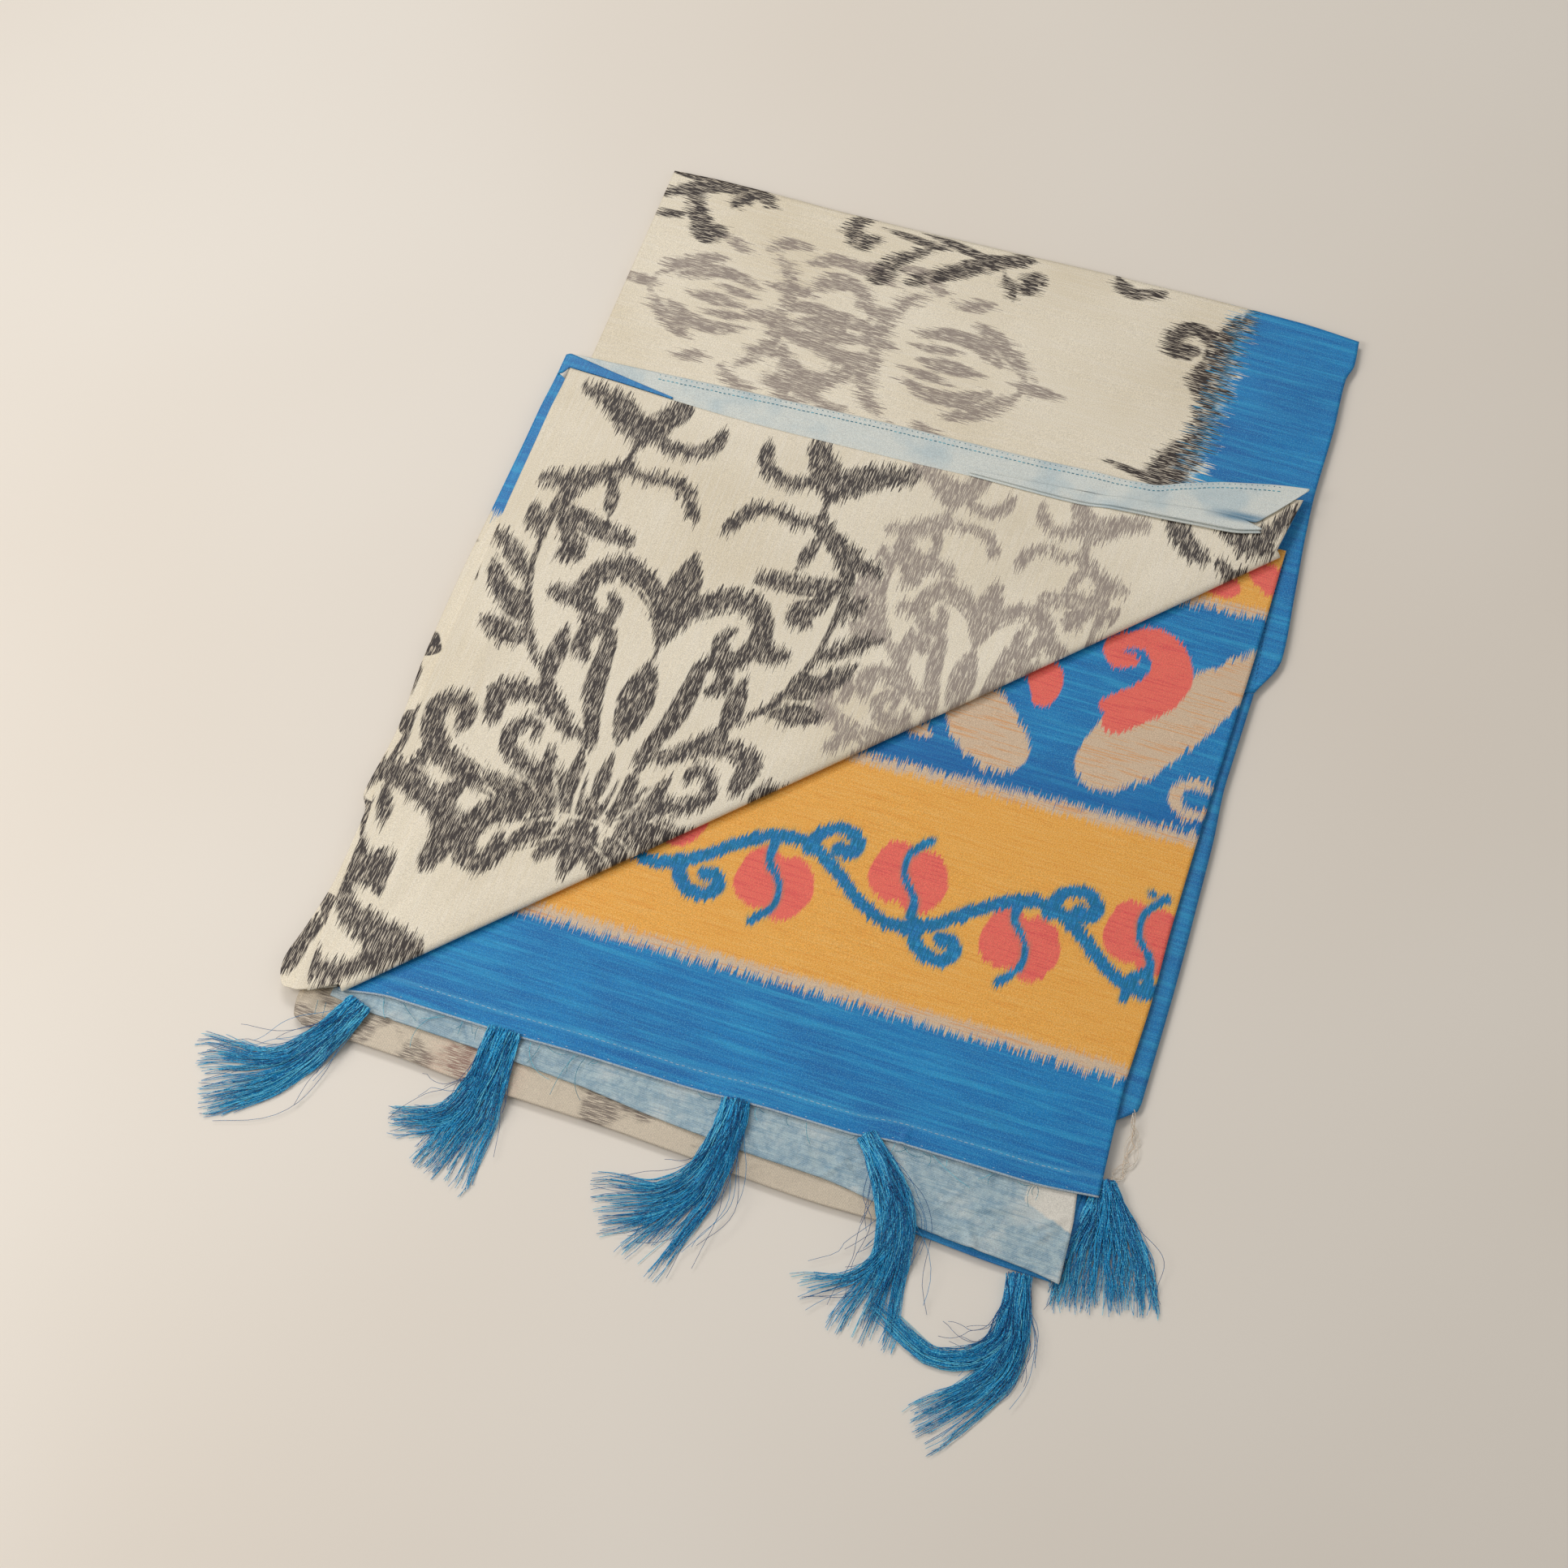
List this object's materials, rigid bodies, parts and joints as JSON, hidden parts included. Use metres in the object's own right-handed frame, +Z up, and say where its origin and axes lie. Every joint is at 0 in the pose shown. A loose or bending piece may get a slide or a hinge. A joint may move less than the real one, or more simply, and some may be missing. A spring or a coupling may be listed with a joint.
{
  "type": "satin saree",
  "caption": "Printed satin saree folded flat, with a corner of its top layers turned back over the banded end panel, and thread tassels along the end hem.",
  "frame": {"origin": "middle of the flat underside, on the surface that the folded cloth lies on", "axes": "+X across the fold towards the two selvages, +Y along the fold away from the tassels, +Z up from the surface"},
  "size_m": [0.6498, 0.9474, 0.0163],
  "materials": {
    "cream_cloth": "satin, printed, right side up",
    "blue_cloth": "satin, printed blue border",
    "pale_blue_cloth": "twill back of the printed blue end and border",
    "tan_cloth": "twill back of the printed cream cloth",
    "amber_cloth": "satin, printed end panel in blue and amber bands",
    "tassel_thread": "glossy thread"
  },
  "bodies": {
    "root": {"folded_layers": "cream_cloth", "back_panel": "cream_cloth", "body_under": "tan_cloth", "pallu_under": "pale_blue_cloth", "pallu": "amber_cloth", "flap": "cream_cloth", "flap_inner": "blue_cloth", "flap_hem": "pale_blue_cloth", "flap_corner": "blue_cloth", "flap_hem_leaf_1": "pale_blue_cloth", "flap_hem_leaf_2": "pale_blue_cloth", "tassel_1": "tassel_thread", "tassel_2": "tassel_thread", "tassel_3": "tassel_thread", "tassel_4": "tassel_thread", "tassel_5": "tassel_thread", "tassel_6": "tassel_thread"}
  },
  "joints": []
}
